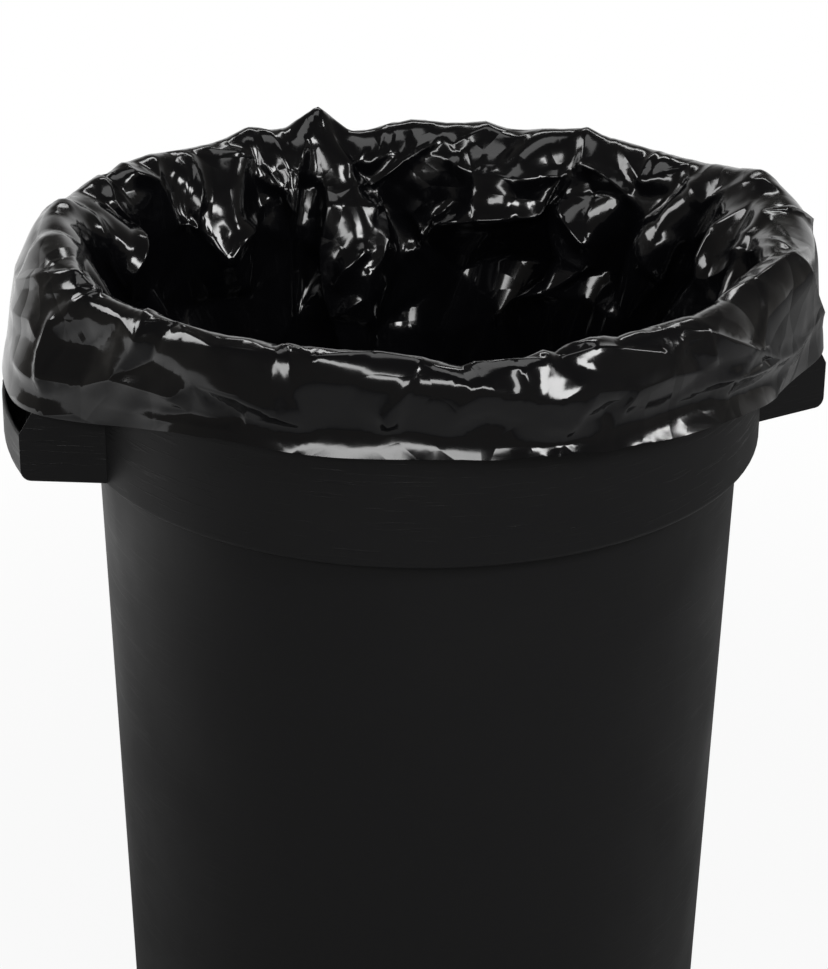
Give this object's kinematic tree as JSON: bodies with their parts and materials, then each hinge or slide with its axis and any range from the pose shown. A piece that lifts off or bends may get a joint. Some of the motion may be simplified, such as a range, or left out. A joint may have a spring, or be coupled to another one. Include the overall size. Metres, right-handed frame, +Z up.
{
  "type": "lined waste bin",
  "caption": "Round open waste bin with a stepped collar and side handles, lined with a glossy bag folded over the rim as a gathered cuff.",
  "frame": {"origin": "centre of the foot ring, on the surface that the bin stands on", "axes": "+Z up along the bin's axis, X through the two handles"},
  "size_m": [0.6796, 0.5753, 0.7304],
  "materials": {
    "bin_plastic": "matt black moulded polythene, faintly scuffed",
    "liner_film": "glossy black polythene film, creased"
  },
  "bodies": {
    "root": {"waste_bin": "bin_plastic", "bin_liner": "liner_film"}
  },
  "joints": []
}
